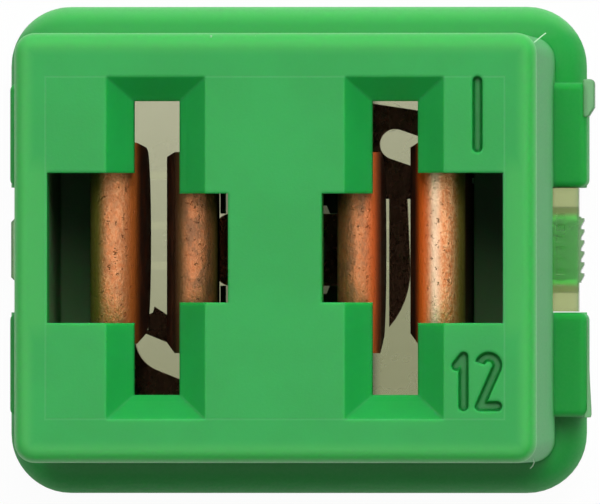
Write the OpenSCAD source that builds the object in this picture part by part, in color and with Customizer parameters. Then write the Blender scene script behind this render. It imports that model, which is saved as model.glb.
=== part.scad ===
// Cartridge fuse with two blade sockets, sockets facing up (+Z), window end on z = 0.
// X runs across the two sockets, Y along the slots. Sizes are in millimetres.

/* [Body] */
// Height from the window end to the socket face
fuse_h = 19; // [16:0.5:26]
// Width of the body, across the two sockets
body_w = 12.7; // [12:0.1:15]
// Depth of the body, along the slots
body_d = 10.45; // [9.6:0.05:13]
// Radius of the body's upright corners
body_corner_r = 0.5; // [0.4:0.05:1]
// How far each of the body's sides runs out from the socket face to the window end
body_draft = 0.11; // [0:0.01:0.15]
// Rounding of the socket face's rim
face_edge_r = 0.35; // [0.2:0.05:0.45]
// Thickness of the wall that the slots go through
face_t = 1.2; // [1:0.1:2]
// Thickness of the walls on the two narrow sides
side_wall = 0.77; // [0.6:0.01:1]
// Thickness of the walls on the two wide sides
end_wall = 1.1; // [0.8:0.05:1.4]

/* [Flange] */
// How far the flange stands out from the body, all round
flange_out = 0.87; // [0.85:0.01:1.2]
// Thickness of the flange
flange_t = 3; // [2.6:0.1:4]
// Radius of the flange's corners
flange_corner_r = 1.5; // [1.2:0.05:1.8]
// Rounding of the flange's edge towards the sockets
flange_edge_r = 0.85; // [0.5:0.05:1]
// Rounding of the flange's edge at the window end
flange_rim_r = 0.3; // [0.1:0.05:0.4]
// Draft of the flange's sides towards the window end
flange_draft = 0.07; // [0:0.01:0.1]
// Height of the lugs on the narrow sides, from the window end
lug_top = 4.2; // [3.6:0.1:5.5]
// Outer end of a lug, from the middle
lug_reach = 4.17; // [3.8:0.01:4.3]
// Distance of the left lugs' outer faces inside the flange's edge
left_lug_inset = 0.06; // [0:0.01:0.1]
// Distance of the right lugs' outer faces outside the flange's edge
right_lug_out = 0.05; // [0:0.01:0.1]
// Width of the recess between two lugs
recess_w = 3.13; // [2.9:0.01:3.4]
// Rounding of a lug's edges
lug_edge_r = 0.2; // [0.05:0.01:0.25]

/* [Sockets] */
// Distance between the two slots
pitch = 5.8; // [5.6:0.05:6]
// Width of a slot, for a blade 0.8 thick
slot_w = 1.11; // [0.95:0.01:1.3]
// Length of a slot, for a blade 6.3 wide
slot_l = 7.15; // [6.8:0.05:7.4]
// Lead-in chamfer along a slot's long edges, and its depth
lead_in = 0.66; // [0.4:0.01:0.7]
// Lead-in chamfer at a slot's ends
lead_in_end = 0.6; // [0.4:0.01:0.7]
// Length of the windows towards the narrow sides
outer_window_l = 3.65; // [3:0.05:4]
// Length of the windows towards the middle
inner_window_l = 2.65; // [2:0.05:3]
// Step between a chamber's wall and the window over it
window_inset = 0.04; // [0.02:0.01:0.1]
// Depth of the shelves behind the outer arms, below the socket face
shelf_depth = 8; // [3:0.1:9]
// Draft of the wall between the chambers, on each side
core_draft = 0.45; // [0.1:0.05:0.5]

/* [Marks] */
// Depth of the grooves that draw the bar and the numerals
mark_depth = 0.22; // [0.05:0.01:0.3]
// Width of a groove at the socket face
groove_w = 0.26; // [0.2:0.01:0.3]
// Width of a groove at its floor
groove_floor_w = 0.13; // [0.08:0.01:0.2]
// Height of the numerals
numeral_h = 1.46; // [1:0.01:1.6]
// Length of the recessed bar
bar_l = 1.87; // [1:0.01:2]
// Distance of the marks outwards from the slot's centre line
mark_reach = 2.02; // [1.9:0.01:2.1]
// Distance of the marks' centres from the body's wide sides
mark_inset = 1.98; // [1.9:0.01:2.1]

/* [Fuse element] */
// Thickness of the strip
strip_t = 0.4; // [0.3:0.01:0.45]
// Distances of the contact faces from their slot's centre line: left terminal, outer and inner
left_outer_contact = 0.35; // [0.1:0.01:0.38]
left_inner_contact = 0.15; // [0.1:0.01:0.38]
// Right terminal, outer and inner
right_outer_contact = 0.3; // [0.1:0.01:0.38]
right_inner_contact = 0.365; // [0.1:0.005:0.38]
// Outside of the outer wall, from the slot's centre line
outer_arm_reach = 1.67; // [1.55:0.01:1.75]
// Outside of the inner wall, from the slot's centre line
inner_arm_reach = 1.44; // [1.38:0.01:1.5]
// Space between a terminal and the wall between the chambers
inner_gap = 0.36; // [0.2:0.01:0.5]
// Outside diameter of the outer arm's bend
outer_bend_d = 1.15; // [1:0.01:1.2]
// Outside diameter of the inner arm's bend
inner_bend_d = 1.05; // [0.95:0.01:1.1]
// Width of an arm, along the slot
arm_w = 4.9; // [4.2:0.05:5.2]
// Shift of the outer arms along the slot
outer_arm_shift = 0.12; // [-0.2:0.01:0.2]
// Shift of the inner arms along the slot
inner_arm_shift = -0.11; // [-0.2:0.01:0.2]
// Lean of the inner walls towards the slots, from bend to foot: left and right terminal
left_inner_lean = 0.45; // [0.1:0.05:0.5]
right_inner_lean = 0.2; // [0.1:0.05:0.5]
// Length of a contact leg, from the bend's centre to its tip
leg_l = 4; // [3.4:0.1:5]
// Narrowing of a contact leg on its edges towards +Y and -Y
leg_taper_back = 0.15; // [0.1:0.05:0.5]
leg_taper_front = 0.35; // [0.1:0.05:0.5]
// Height of the bridges' lower face above the window end
bridge_z = 3.4; // [3.2:0.1:3.8]
// Outer radius of the bends between outer walls and bridges
outer_foot_r = 0.85; // [0.6:0.05:0.9]
// Outer radius of the bends between inner walls and bridges
inner_foot_r = 0.6; // [0.5:0.05:0.8]
// Width of the eye through the left bridge
eye_left_w = 0.74; // [0.5:0.01:0.8]
// Radius that sweeps round the left eye's outer end
eye_sweep_r = 0.85; // [0.5:0.05:0.9]
// Width of the eye through the right bridge
eye_right_w = 0.76; // [0.5:0.01:0.8]
// Length of an eye between its end centres
eye_l = 1.15; // [0.8:0.05:1.2]
// Lower edge of the right bridge, from the middle
bridge_right_edge = 1.27; // [1.15:0.01:1.4]
// Length of the tongue beyond the middle
tongue_l = 2.1; // [1:0.1:2.4]
// Radius of the tongue's bow near its point
tongue_bow_r = 2.2; // [1.8:0.1:3]
// Width of the link's necks
neck_w = 0.6; // [0.4:0.01:0.7]
// Width of the link's pad, across the two sockets
pad_w = 4.1; // [3:0.1:4.2]
// Length of the link's pad, along the slots
pad_l = 1.8; // [1.6:0.05:2]
// Radius of the pad's corners
pad_corner_r = 0.4; // [0.2:0.05:0.6]

/* [Tin pill] */
// Diameter of the pill's heads
pill_d = 1.5; // [1.2:0.05:1.7]
// Diameter of the hole that the pill fills
pill_hole_d = 0.5; // [0.4:0.05:0.6]
// Height of each head over the link
pill_head_h = 0.28; // [0.15:0.01:0.35]

/* [Clear cover] */
// Thickness of the window plate
plate_t = 1.2; // [0.8:0.05:1.4]
// Depth of the plate's outer face below the flange's face
plate_inset = 0.15; // [0.05:0.01:0.3]
// How far the plate's edge lies inside the body's outline
plate_margin = 0.1; // [0.05:0.01:0.2]
// Radius of the plate's corners
plate_corner_r = 0.8; // [0.5:0.05:1]
// Thickness of a leg
leg_t = 0.65; // [0.5:0.01:0.7]
// Draft of a leg's outer face, over its height
leg_draft = 0.06; // [0.02:0.01:0.1]
// Drop of a leg's end below the lugs' ends
leg_drop = 0.25; // [0.1:0.05:0.6]
// Width of the latch on each narrow side
latch_w = 1.5; // [1:0.01:1.6]
// Height of the latch's lower face above the window end
latch_z = 1.75; // [1.65:0.05:2]
// Height of the latch
latch_h = 0.95; // [0.7:0.05:1.1]
// Width of the opening in a leg, over the latch
opening_w = 2.15; // [1.8:0.05:2.3]
// Number of ribs on a leg
rib_count = 6; // [3:1:7]
// Distance between ribs
rib_pitch = 0.275; // [0.22:0.005:0.3]
// Height of the ribs over the leg
rib_h = 0.13; // [0.08:0.01:0.2]
// Height of the pad under the ribs
rib_pad_h = 0.05; // [0.02:0.01:0.07]
// Width and height of the plain pad on the left leg
plain_pad_w = 1.56; // [1:0.02:2]
plain_pad_h = 0.09; // [0.04:0.01:0.15]
// Width of the bars across the inside of the window
cross_bar_w = 0.2; // [0.1:0.01:0.3]
// Height of the bars across the inside of the window
cross_bar_h = 0.1; // [0.05:0.01:0.2]
// Diameter of the posts that hold the element down
post_d = 0.7; // [0.5:0.05:0.8]

/* [Fits] */
// Clearance between pieces that slot together
clearance = 0.05; // [0.03:0.01:0.08]
// Clearance between a leg and the lugs beside it
leg_clearance = 0.02; // [0.01:0.01:0.05]

/* [Hidden] */
$fn = 48;
over = 1;

join = 0.1;

socket_x = pitch / 2;
side_x = body_w / 2;
flange_x = side_x + flange_out;
chamber_out = side_x - side_wall;
chamber_in = socket_x - inner_arm_reach - inner_gap;
chamber_y = body_d / 2 - end_wall;
ledge_z = plate_inset + plate_t;
plate_w = body_w - 2 * plate_margin;
plate_d = body_d - 2 * plate_margin;
leg_in = side_x + clearance;
leg_out = leg_in + leg_t;
leg_w = recess_w - 2 * leg_clearance;
leg_top = lug_top - leg_drop;
// Lap of a leg's tab in the plate, top of the latch opening, and foot of the ribs
tab_lap = 0.5;
opening_top = latch_z + latch_h + clearance;
rib_z = opening_top + 0.15;
// Notches in a leg's end
notch_in = 0.1;
notch_l = 0.2;
notch_depth = 0.07;
notch_w = rib_pitch / 2;
// How far the lugs' top rounding is smaller than that of their upright edges
lug_rim_less = 0.02;
arm_top = fuse_h - face_t - clearance;
// Levels of the element at its window end
bridge_top = bridge_z + strip_t;
foot_rise = 0.5;
wall_foot = bridge_top + foot_rise;
pill_room = 0.3;
pill_fit = 0.02;
link_roof = bridge_top + pill_head_h + pill_room;
// Centres of the bar and the numerals
mark_x = socket_x + mark_reach;
mark_y = body_d / 2 - mark_inset;
// Bars across the inside of the window, how far they end before a chamber's wall, and the two posts
cross_bar_y = [1.87, 0.62, -0.39];
bar_short = 0.3;
right_post = [2.3, chamber_y - 0.8];
left_post = [-1.6, 1.1 - chamber_y];
// Eye of each bridge: centre and slope
eye_left = [-socket_x - 0.23, -2.76];
eye_left_slope = -22;
eye_right = [socket_x + 0.1, 2.45];
eye_right_slope = -19;
// Tongue: straight edge and bowed edge, measured inwards from the slot's centre line
tongue_straight = 0.59;
tongue_root = 0.14;
tongue_bowed = 0.06;
tongue_bow_y = -0.5;
// Stops at the feet of the inner walls: tops, width, gap to a wall, and where they start along the slot
left_stop_top = 5;
right_stop_top = 6;
stop_w = 0.6;
stop_gap = 0.02;
left_stop_y = inner_window_l / 2 + join;
right_stop_y = 1.1;
// Lips of the stops: width of the left ones, foot and slant of the right ones
left_lip_w = 0.12;
right_lip_foot = 0.13;
right_lip_slant = 0.12;
// Stretches of the bridges that turn up into a terminal's walls: low and high ends
right_foot = [bridge_right_edge, 2.25];
left_outer_foot = [0.3 - chamber_y, -2];
left_inner_foot = [-2.5, -1.95];
// Necks of the link: centre, and the bridge's edge that each one runs to
right_neck_x = 1.9;
left_neck_x = -1.3;
left_neck_end = -1.9;
// Outlines of the two bridges, whose slanted edges run down towards +X
bridge_in = socket_x - inner_arm_reach + right_inner_lean + join;
bridge_out = socket_x + outer_arm_reach - outer_foot_r;
right_neck_in = right_neck_x - neck_w / 2;
left_neck_in = left_neck_x + neck_w / 2;
right_far_edge = [chamber_y - 0.45, chamber_y - 0.75];
left_far_edge = [0.3 - chamber_y, 0.7 - chamber_y];
notch_point = [-socket_x - 0.66, -1.42];
right_outline = [
    [right_neck_in, bridge_right_edge], [bridge_out, bridge_right_edge],
    [bridge_out, right_far_edge[1]], [bridge_in, right_far_edge[0]],
    [bridge_in, right_foot[1] - join], [right_neck_in, right_foot[1] - 4 * join]
];
left_outline = [
    [left_neck_in, left_far_edge[1]], [left_neck_in, left_neck_end],
    [-socket_x - 0.15, -1.76], notch_point, notch_point + [-0.04, -0.15],
    [-bridge_out, -1.62], [-bridge_out, left_far_edge[0]]
];

// Outer face of a leaning inner wall at a height above the window end
function inner_wall_x(lean, z) =
    socket_x - inner_arm_reach
    + lean * (arm_top - inner_bend_d / 2 - z) / (arm_top - inner_bend_d / 2 - wall_foot);

// Half of a block's upright section: a strip from the axis out to reach, rounded at its outer
// corners, whose side runs in by draft towards its foot
module edge_section(reach, h, top_r, foot_r, draft = 0) {
    foot_reach = reach - draft;
    difference() {
        polygon([
            [0, 0], [foot_reach, 0], [foot_reach, foot_r], [reach, h - top_r], [reach, h], [0, h]
        ]);
        translate([reach - top_r, h - top_r]) corner_waste(top_r);
        if (foot_r > 0)
            translate([foot_reach - foot_r, foot_r]) mirror([0, 1]) corner_waste(foot_r);
    }
}

// What a radius takes off a square corner
module corner_waste(r) {
    difference() {
        square(r + over);
        circle(r);
    }
}

// Block on z = 0 with round upright corners and rounded rims, made of stretches that meet face to face
module soft_block(w, d, h, corner_r, top_r, foot_r = 0, draft = 0) {
    straight_x = w - 2 * corner_r;
    straight_y = d - 2 * corner_r;
    translate([-straight_x / 2, 0, 0]) rotate([90, 0, 90]) linear_extrude(straight_x) {
        edge_section(d / 2, h, top_r, foot_r, draft);
        mirror([1, 0]) edge_section(d / 2, h, top_r, foot_r, draft);
    }
    for (turn = [0, 180]) rotate([0, 0, turn])
        translate([straight_x / 2, straight_y / 2, 0]) rotate([90, 0, 0])
            linear_extrude(straight_y) edge_section(corner_r, h, top_r, foot_r, draft);
    for (left = [0, 1], front = [0, 1])
        mirror([left, 0, 0]) mirror([0, front, 0])
            translate([straight_x / 2, straight_y / 2, 0])
                rotate_extrude(angle = 90) edge_section(corner_r, h, top_r, foot_r, draft);
}

// Upright prism with round corners, from z0 to z1
module soft_prism(w, d, r, z0, z1) {
    translate([0, 0, z0]) linear_extrude(z1 - z0) {
        square([w, d - 2 * r], center = true);
        square([w - 2 * r, d], center = true);
        for (x = [-1, 1], y = [-1, 1])
            translate([x * (w / 2 - r), y * (d / 2 - r)]) circle(r);
    }
}

// Axis-aligned block given by its low and high corners
module span(low, high) {
    translate(low) cube(high - low);
}

// Copies for both narrow sides
module both_sides() {
    children();
    mirror([1, 0, 0]) children();
}

// Two lugs on the +X side, from the body's wall out to lug_x, rising from the flange
module lugs(lug_x) {
    root = side_wall / 2;
    lug_w = lug_x - side_x + root;
    lug_d = lug_reach - recess_w / 2;
    lug_foot = flange_t / 2;
    for (y = [-1, 1])
        translate([lug_x - lug_w / 2, y * (lug_reach - lug_d / 2), lug_foot])
            soft_block(lug_w, lug_d, lug_top - lug_foot, lug_edge_r, lug_edge_r - lug_rim_less);
}

// Recess in the flange's narrow side, for a leg of the cover
module leg_recess() {
    span([side_x, -recess_w / 2, -over], [flange_x + over, recess_w / 2, lug_top + over]);
}

// Latch on the +X side that a leg of the cover snaps over, with its ramp on the window side
module latch() {
    reach = leg_out - clearance;
    nose = 0.15;
    ramp_end = latch_z + latch_h * 0.6;
    top = latch_z + latch_h;
    translate([0, latch_w / 2, 0]) rotate([90, 0, 0]) linear_extrude(latch_w)
        polygon([
            [side_x - join, latch_z], [side_x + nose, latch_z], [reach, ramp_end],
            [reach, top], [side_x - join, top]
        ]);
}

// Lead-in funnel of a slot, and the slot itself
module slot() {
    slope = lead_in + over;
    end_slope = slope * lead_in_end / lead_in;
    translate([0, 0, fuse_h - lead_in]) intersection() {
        rotate([90, 0, 0]) linear_extrude(slot_l + 4 * slope, center = true)
            polygon([
                [-slot_w / 2, 0], [slot_w / 2, 0],
                [slot_w / 2 + slope, slope], [-slot_w / 2 - slope, slope]
            ]);
        rotate([90, 0, 90]) linear_extrude(slot_w + 4 * slope, center = true)
            polygon([
                [-slot_l / 2, 0], [slot_l / 2, 0],
                [slot_l / 2 + end_slope, slope], [-slot_l / 2 - end_slope, slope]
            ]);
    }
    span([-slot_w / 2, -slot_l / 2, fuse_h - face_t - over], [slot_w / 2, slot_l / 2, fuse_h]);
}

// Everything that opens one socket, on the +X side: chamber, slot and side windows
module socket() {
    window_z = fuse_h - face_t - over;
    translate([0, chamber_y, 0]) rotate([90, 0, 0]) linear_extrude(2 * chamber_y)
        polygon([
            [chamber_out, ledge_z - over], [chamber_out, fuse_h - face_t],
            [chamber_in, fuse_h - face_t], [chamber_in - core_draft, link_roof],
            [chamber_in - core_draft, ledge_z - over]
        ]);
    translate([socket_x, 0, 0]) slot();
    span([socket_x, -outer_window_l / 2, window_z],
         [chamber_out - window_inset, outer_window_l / 2, fuse_h + over]);
    span([chamber_in + window_inset, -inner_window_l / 2, window_z],
         [socket_x, inner_window_l / 2, fuse_h + over]);
}

// What backs a terminal's outer wall, on the +X side: a shelf deep below the window, and a rib
// on each side of the window
module guides() {
    rib_w = 0.5;
    guide_in = socket_x + outer_arm_reach + clearance;
    guide_y = arm_w / 2;
    span([guide_in, -guide_y, link_roof], [chamber_out + join, guide_y, fuse_h - shelf_depth]);
    for (y = [-guide_y, guide_y - rib_w])
        span([guide_in, y, fuse_h - shelf_depth - join],
             [chamber_out + join, y + rib_w, fuse_h - face_t + join]);
}

// Stops on the wall between the chambers that hold the feet of the inner walls, one on each side
// of the link, on the +X side: blocks of the given reach, each with a thinner lip towards the link
// whose inner side slants
module foot_stops(reach, lip_in, slant, block_y, top) {
    lip_y = pad_l / 2;
    for (side = [0, 1]) mirror([0, side, 0]) {
        span([chamber_in - core_draft - join, block_y, link_roof],
             [reach, block_y + stop_w, top]);
        translate([0, 0, link_roof]) linear_extrude(top - link_roof)
            polygon([
                [lip_in + slant, lip_y], [reach, lip_y], [reach, block_y + join],
                [lip_in, block_y + join]
            ]);
    }
}

// Half of a groove's section, on the +X side of its centre line, with the socket face at y = 0
module groove_half() {
    polygon([
        [0, -mark_depth], [groove_floor_w / 2, -mark_depth], [groove_w / 2, 0], [groove_w / 2, over],
        [0, over]
    ]);
}

// Straight groove with round ends, between two points on the socket face
module groove_line(from, to) {
    run = to - from;
    translate([from[0], from[1], 0]) rotate([0, 0, atan2(run[1], run[0])])
        rotate([90, 0, 90]) linear_extrude(norm(run)) {
            groove_half();
            mirror([1, 0]) groove_half();
        }
    for (end = [from, to]) translate([end[0], end[1], 0]) rotate_extrude($fn = 24) groove_half();
}

// Groove round an arc
module groove_arc(centre, r, start, sweep) {
    translate([centre[0], centre[1], 0]) rotate([0, 0, start])
        rotate_extrude(angle = sweep) translate([r, 0]) {
            groove_half();
            mirror([1, 0]) groove_half();
        }
}

// Numeral 1: a stem with a short flag at its top
module numeral_one() {
    top = (numeral_h - groove_w) / 2;
    flag = [-0.17, -0.22];
    groove_line([0, -top], [0, top]);
    groove_line([0, top], [0, top] + flag);
}

// Numeral 2: a round bow, a slanted stroke and a foot
module numeral_two() {
    top = (numeral_h - groove_w) / 2;
    bow_r = 0.21;
    bow = [0, top - bow_r];
    bow_end = -36;
    turn = bow + bow_r * [cos(bow_end), sin(bow_end)];
    groove_arc(bow, bow_r, bow_end, 200);
    groove_line([-bow_r, -top], turn);
    groove_line([-bow_r, -top], [bow_r, -top]);
}

// Recessed bar and numerals on the socket face
module marks() {
    bar_end = (bar_l - groove_w) / 2;
    translate([mark_x, mark_y, fuse_h]) groove_line([0, -bar_end], [0, bar_end]);
    one_x = mark_x - 0.34;
    two_x = mark_x + 0.27;
    translate([one_x, -mark_y, fuse_h]) numeral_one();
    translate([two_x, -mark_y, fuse_h]) numeral_two();
}

module housing() color([0.22, 0.66, 0.3]) {
    difference() {
        union() {
            soft_block(body_w, body_d, fuse_h, body_corner_r, face_edge_r, draft = -body_draft);
            soft_block(2 * flange_x, body_d + 2 * flange_out, flange_t,
                       flange_corner_r, flange_edge_r, flange_rim_r, flange_draft);
            lugs(flange_x + right_lug_out);
            mirror([1, 0, 0]) lugs(flange_x - left_lug_inset);
        }
        both_sides() leg_recess();
        both_sides() socket();
        span([-chamber_out, -chamber_y, 0], [chamber_out, chamber_y, link_roof]);
        soft_prism(plate_w + 2 * clearance, plate_d + 2 * clearance, plate_corner_r, -over, ledge_z);
        both_sides() span([0, -recess_w / 2, -over], [side_x + over, recess_w / 2, ledge_z]);
        marks();
    }
    both_sides() guides();
    both_sides() latch();
    right_reach = inner_wall_x(right_inner_lean, right_stop_top) - clearance;
    foot_stops(right_reach, chamber_in - core_draft + right_lip_foot, right_lip_slant,
               right_stop_y, right_stop_top);
    left_reach = inner_wall_x(left_inner_lean, left_stop_top) - stop_gap;
    mirror([1, 0, 0])
        foot_stops(left_reach, left_reach - left_lip_w, 0, left_stop_y, left_stop_top);
}

// Leg of the cover on the +X side, with the tab that joins it to the plate and its latch opening
module cover_leg() {
    tab_in = plate_w / 2 - tab_lap;
    difference() {
        translate([0, leg_w / 2, 0]) rotate([90, 0, 0]) linear_extrude(leg_w)
            polygon([
                [tab_in, plate_inset], [leg_out - leg_draft, plate_inset], [leg_out, leg_top],
                [leg_in, leg_top], [leg_in, ledge_z], [tab_in, ledge_z]
            ]);
        span([side_x, -opening_w / 2, latch_z - 2 * clearance],
             [leg_out + over, opening_w / 2, opening_top]);
        for (i = [0 : rib_count])
            translate([leg_in + notch_in, (i - rib_count / 2) * rib_pitch - notch_w / 2,
                       leg_top - notch_depth])
                cube([notch_l, notch_w, over]);
    }
}

// Sawtooth ribs on a low pad, on the outer face of the right leg
module leg_ribs() {
    rib_run = rib_count * rib_pitch;
    span([leg_out - leg_draft, -rib_run / 2, rib_z], [leg_out + rib_pad_h, rib_run / 2, leg_top]);
    for (i = [0 : rib_count - 1])
        translate([leg_out, (i - (rib_count - 1) / 2) * rib_pitch, rib_z])
            linear_extrude(leg_top - rib_z)
                polygon([
                    [0, -rib_pitch * 0.45], [rib_pad_h, -rib_pitch * 0.4], [rib_h, rib_pitch * 0.12],
                    [rib_h, rib_pitch * 0.36], [0, rib_pitch * 0.4]
                ]);
}

// Plain pad with chamfered ends, on the outer face of the left leg (drawn on the +X side)
module leg_pad() {
    translate([0, 0, rib_z]) linear_extrude(leg_top - rib_z)
        polygon([
            [leg_out - leg_draft, -plain_pad_w / 2], [leg_out, -plain_pad_w / 2],
            [leg_out + plain_pad_h, -plain_pad_w / 2 + plain_pad_h],
            [leg_out + plain_pad_h, plain_pad_w / 2 - plain_pad_h],
            [leg_out, plain_pad_w / 2], [leg_out - leg_draft, plain_pad_w / 2]
        ]);
}

// Post on the window plate that holds a bridge of the element down
module post(at) {
    translate([at[0], at[1], ledge_z - join])
        cylinder(d = post_d, h = bridge_z - clearance - ledge_z + join);
}

module clear_cover() color([0.93, 0.92, 0.8, 0.55]) {
    soft_prism(plate_w, plate_d, plate_corner_r - clearance, plate_inset, ledge_z);
    both_sides() cover_leg();
    leg_ribs();
    mirror([1, 0, 0]) leg_pad();
    bar_end = chamber_out - bar_short;
    for (y = cross_bar_y)
        span([-bar_end, y - cross_bar_w / 2, ledge_z - join],
             [bar_end, y + cross_bar_w / 2, ledge_z + cross_bar_h]);
    post(right_post);
    post(left_post);
}

// Arm of a terminal, drawn with the slot's centre line at x = 0 and the arm on its +X side:
// a wall, a bend at the mouth and a contact leg that leans in to the blade
module arm(reach, bend_d, shift, contact_x, wall_lean) {
    lean_h = 1.3;
    bend_r = bend_d / 2;
    bend_z = arm_top - bend_r;
    bend_x = reach - bend_r;
    lean = bend_x - bend_r - contact_x;
    straight_h = leg_l - lean_h;
    foot_x = reach - wall_lean;
    translate([0, shift, 0]) {
        // wall
        translate([0, arm_w / 2, 0]) rotate([90, 0, 0]) linear_extrude(arm_w)
            polygon([
                [reach, bend_z], [foot_x, wall_foot], [foot_x - strip_t, wall_foot],
                [reach - strip_t, bend_z]
            ]);
        // bend
        translate([bend_x, arm_w / 2, bend_z]) rotate([90, 0, 0]) linear_extrude(arm_w)
            intersection() {
                difference() {
                    circle(bend_r);
                    circle(bend_r - strip_t);
                }
                translate([-bend_r - over, 0]) square([bend_d + 2 * over, bend_r + over]);
            }
        // leg, narrowing to a round tip
        intersection() {
            translate([0, arm_w / 2, bend_z]) rotate([90, 0, 0]) linear_extrude(arm_w)
                polygon([
                    [contact_x + lean, 0], [contact_x, -lean_h], [contact_x, -lean_h - straight_h],
                    [contact_x + strip_t, -lean_h - straight_h], [contact_x + strip_t, -lean_h],
                    [contact_x + lean + strip_t, 0]
                ]);
            leg_outline(bend_z);
        }
    }
}

// Outline of a contact leg seen from its blade: a taper that ends in a round tip
module leg_outline(bend_z) {
    tip_r = (arm_w - leg_taper_back - leg_taper_front) / 2;
    tip_y = (leg_taper_front - leg_taper_back) / 2;
    straight_h = leg_l - tip_r;
    translate([0, 0, bend_z]) rotate([90, 0, 90]) linear_extrude(2 * outer_arm_reach) {
        polygon([
            [-arm_w / 2, 0], [arm_w / 2, 0], [tip_y + tip_r, -straight_h],
            [tip_y - tip_r, -straight_h]
        ]);
        translate([tip_y, -straight_h]) intersection() {
            circle(tip_r);
            translate([-tip_r, -tip_r]) square([2 * tip_r, tip_r]);
        }
    }
}

// Both arms of a terminal, with the outer arm on the +X side of its slot's centre line
module terminal(outer_contact, inner_contact, inner_lean) {
    arm(outer_arm_reach, outer_bend_d, outer_arm_shift, outer_contact, 0);
    mirror([1, 0, 0])
        arm(inner_arm_reach, inner_bend_d, inner_arm_shift, inner_contact, inner_lean);
}

// Stretch of a bridge: the strip turns from a wall on the +X side of the slot into the bridge
module foot(reach, ends, bend_r) {
    bend_x = reach - bend_r;
    bend_z = bridge_z + bend_r;
    span([reach - strip_t, ends[0], bend_z], [reach, ends[1], wall_foot + 2 * join]);
    translate([bend_x, ends[1], bend_z]) rotate([90, 0, 0]) linear_extrude(ends[1] - ends[0])
        intersection() {
            difference() {
                circle(bend_r);
                circle(bend_r - strip_t);
            }
            translate([0, -bend_r]) square(bend_r);
        }
    span([bend_x - 2 * join, ends[0], bridge_z], [bend_x, ends[1], bridge_top]);
}

// Long hole with round ends
module eye(at, slope, width) {
    translate([at[0], at[1], bridge_z - over]) rotate([0, 0, slope]) linear_extrude(strip_t + 2 * over) {
        square([eye_l, width], center = true);
        for (x = [-1, 1]) translate([x * eye_l / 2, 0]) circle(width / 2);
    }
}

// Long hole with one round end, and one end swept round from its lower side
module swept_eye(at, slope, width) {
    sweep_x = -0.26;
    translate([at[0], at[1], bridge_z - over]) rotate([0, 0, slope]) linear_extrude(strip_t + 2 * over) {
        translate([sweep_x, -width / 2]) square([eye_l / 2 - sweep_x, width]);
        translate([eye_l / 2, 0]) circle(width / 2);
        intersection() {
            translate([sweep_x, eye_sweep_r - width / 2]) circle(eye_sweep_r);
            translate([sweep_x - eye_sweep_r, -width / 2]) square([eye_sweep_r, width]);
        }
    }
}

// Flat of a bridge, on the level of the link
module bridge_flat(outline) {
    translate([0, 0, bridge_z]) linear_extrude(strip_t) polygon(outline);
}

// Tongue that hangs from the right bridge: one straight edge, one that bows out, and a point
module tongue() {
    straight_x = socket_x - tongue_straight;
    bowed_x = socket_x - tongue_bowed;
    translate([0, 0, bridge_z]) linear_extrude(strip_t) {
        polygon([
            [straight_x, bridge_right_edge + join], [socket_x - tongue_root, bridge_right_edge + join],
            [bowed_x, tongue_bow_y], [straight_x, tongue_bow_y]
        ]);
        intersection() {
            translate([bowed_x - tongue_bow_r, tongue_bow_y]) circle(tongue_bow_r, $fn = 120);
            translate([straight_x, -tongue_l]) square([tongue_straight, tongue_l + tongue_bow_y]);
        }
    }
}

// Pad in the middle of the link, with round corners
module pad() {
    soft_prism(pad_w, pad_l, pad_corner_r, bridge_z, bridge_top);
}

// Neck of the link, from the pad to a bridge's edge at end_y
module neck(x, end_y) {
    low_y = min(0, end_y);
    span([x - neck_w / 2, low_y - (end_y < 0 ? join : 0), bridge_z],
         [x + neck_w / 2, max(0, end_y) + (end_y > 0 ? join : 0), bridge_top]);
}

module fuse_element() color([0.78, 0.47, 0.3]) {
    translate([socket_x, 0, 0])
        terminal(right_outer_contact, right_inner_contact, right_inner_lean);
    mirror([1, 0, 0]) translate([socket_x, 0, 0])
        terminal(left_outer_contact, left_inner_contact, left_inner_lean);
    difference() {
        union() {
            bridge_flat(right_outline);
            translate([socket_x, 0, 0]) {
                foot(outer_arm_reach, right_foot, outer_foot_r);
                mirror([1, 0, 0]) foot(inner_arm_reach - right_inner_lean, right_foot, inner_foot_r);
            }
            tongue();
            neck(right_neck_x, bridge_right_edge);
            pad();
        }
        eye(eye_right, eye_right_slope, eye_right_w);
        pill_hole();
    }
    difference() {
        union() {
            bridge_flat(left_outline);
            translate([-socket_x, 0, 0]) {
                mirror([1, 0, 0]) foot(outer_arm_reach, left_outer_foot, outer_foot_r);
                foot(inner_arm_reach - left_inner_lean, left_inner_foot, inner_foot_r);
            }
            neck(left_neck_x, left_neck_end);
        }
        swept_eye(eye_left, eye_left_slope, eye_left_w);
        pill_hole();
    }
}

// Hole through the middle of the link
module pill_hole() {
    translate([0, 0, bridge_z - over]) cylinder(d = pill_hole_d, h = strip_t + 2 * over);
}

// Rivet of tin through the link, with a rounded head on each face
module tin_pill() color([0.75, 0.76, 0.77]) {
    translate([0, 0, bridge_z - join])
        cylinder(d = pill_hole_d - pill_fit, h = strip_t + 2 * join);
    translate([0, 0, bridge_top]) pill_head();
    translate([0, 0, bridge_z]) mirror([0, 0, 1]) pill_head();
}

module pill_head() {
    dome = 0.85;
    rotate_extrude() edge_section(pill_d / 2, pill_head_h, pill_head_h * dome, 0);
}

housing();
clear_cover();
fuse_element();
tin_pill();
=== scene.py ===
import math
import random

import bmesh
import bpy
from mathutils import Matrix, Vector


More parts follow.
